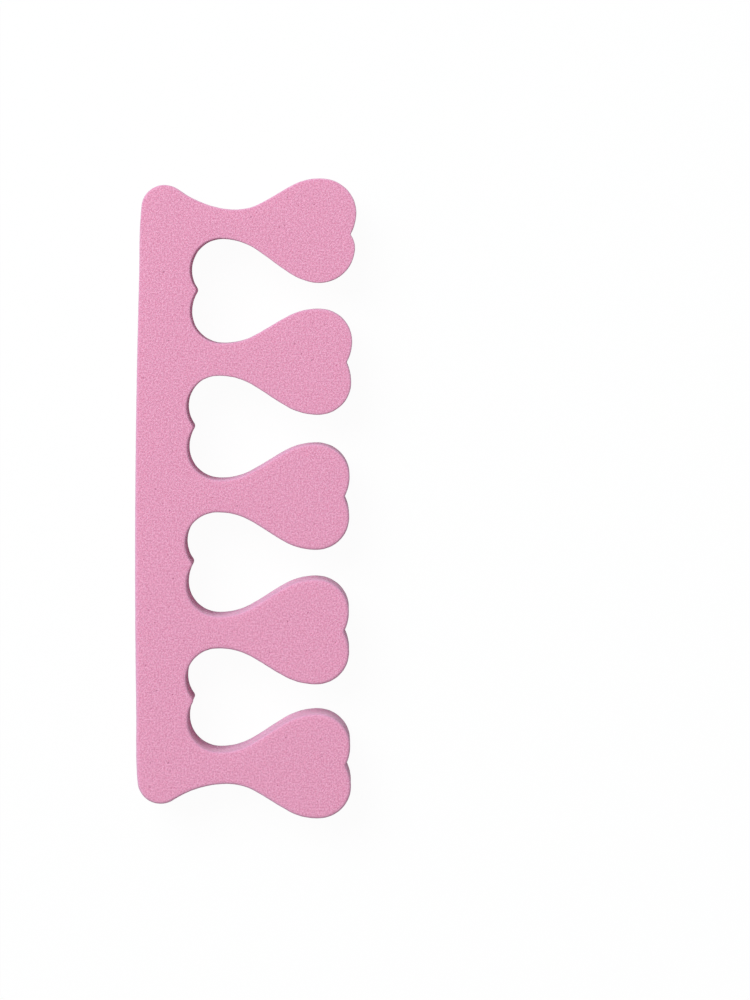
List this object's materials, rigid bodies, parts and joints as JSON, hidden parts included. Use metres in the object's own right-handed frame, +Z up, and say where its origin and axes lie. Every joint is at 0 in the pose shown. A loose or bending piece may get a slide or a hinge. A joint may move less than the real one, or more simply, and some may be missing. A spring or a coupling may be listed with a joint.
{
  "type": "toe separator",
  "caption": "Flat comb of soft foam with heart-shaped fingers on a straight spine; toes sit in the heart-shaped gaps to keep them apart.",
  "frame": {"origin": "middle of the outline's box, on the underside that rests on a surface", "axes": "+Y along the spine towards the finger that leans a little inwards, +X towards the finger tips, +Z up through the thickness"},
  "size_m": [0.0338, 0.0994, 0.009],
  "materials": {
    "foam": "matt fine-celled soft foam"
  },
  "bodies": {
    "root": {"foam_comb": "foam"}
  },
  "joints": []
}
